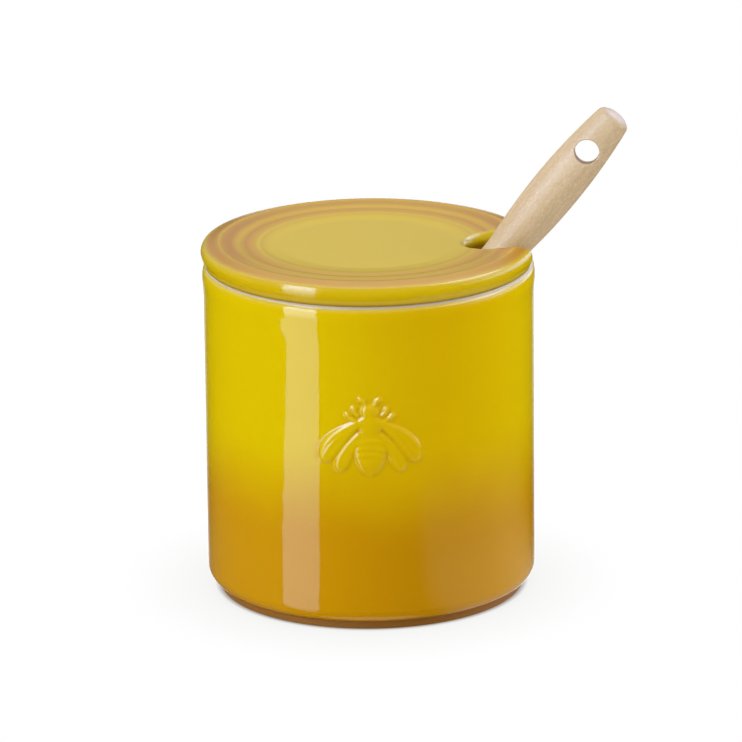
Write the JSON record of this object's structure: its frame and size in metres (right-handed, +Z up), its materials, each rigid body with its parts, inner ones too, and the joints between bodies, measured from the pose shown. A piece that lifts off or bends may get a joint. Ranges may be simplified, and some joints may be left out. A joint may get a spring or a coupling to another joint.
{
  "type": "honey pot",
  "caption": "Cylindrical glazed stoneware honey pot with a flat lift-off lid, notched for a wooden dipper with a ribbed silicone head.",
  "frame": {"origin": "on the pot's axis, on the surface it stands on", "axes": "+Z up along the pot's axis, +X towards the lid's notch, -Y towards the decorated front"},
  "size_m": [0.1288, 0.1012, 0.1474],
  "materials": {
    "glaze": "glossy yellow glaze, amber towards the base, bare stoneware at the rim and foot",
    "lid_glaze": "glossy yellow glaze with tan valleys",
    "beech": "fine sanded, unvarnished",
    "nylon": "plain moulded",
    "silicone": "matt silicone"
  },
  "bodies": {
    "pot": {"pot": "glaze"},
    "lid": {"lid": "lid_glaze"},
    "dipper": {"dipper_stem": "nylon", "dipper_head": "silicone"},
    "handle": {"dipper_handle": "beech"}
  },
  "joints": [
    {"name": "lid_lift", "type": "slide", "parent": "pot", "child": "lid", "axis": [0, 0, 1], "range_m": [0, 0.07]},
    {"name": "dipper_draw", "type": "slide", "parent": "pot", "child": "dipper", "axis": [0.6411, 0.1119, 0.7593], "range_m": [0, 0.07]},
    {"name": "handle_pull", "type": "slide", "parent": "dipper", "child": "handle", "axis": [0.6411, 0.1119, 0.7593], "range_m": [0, 0.026]}
  ]
}
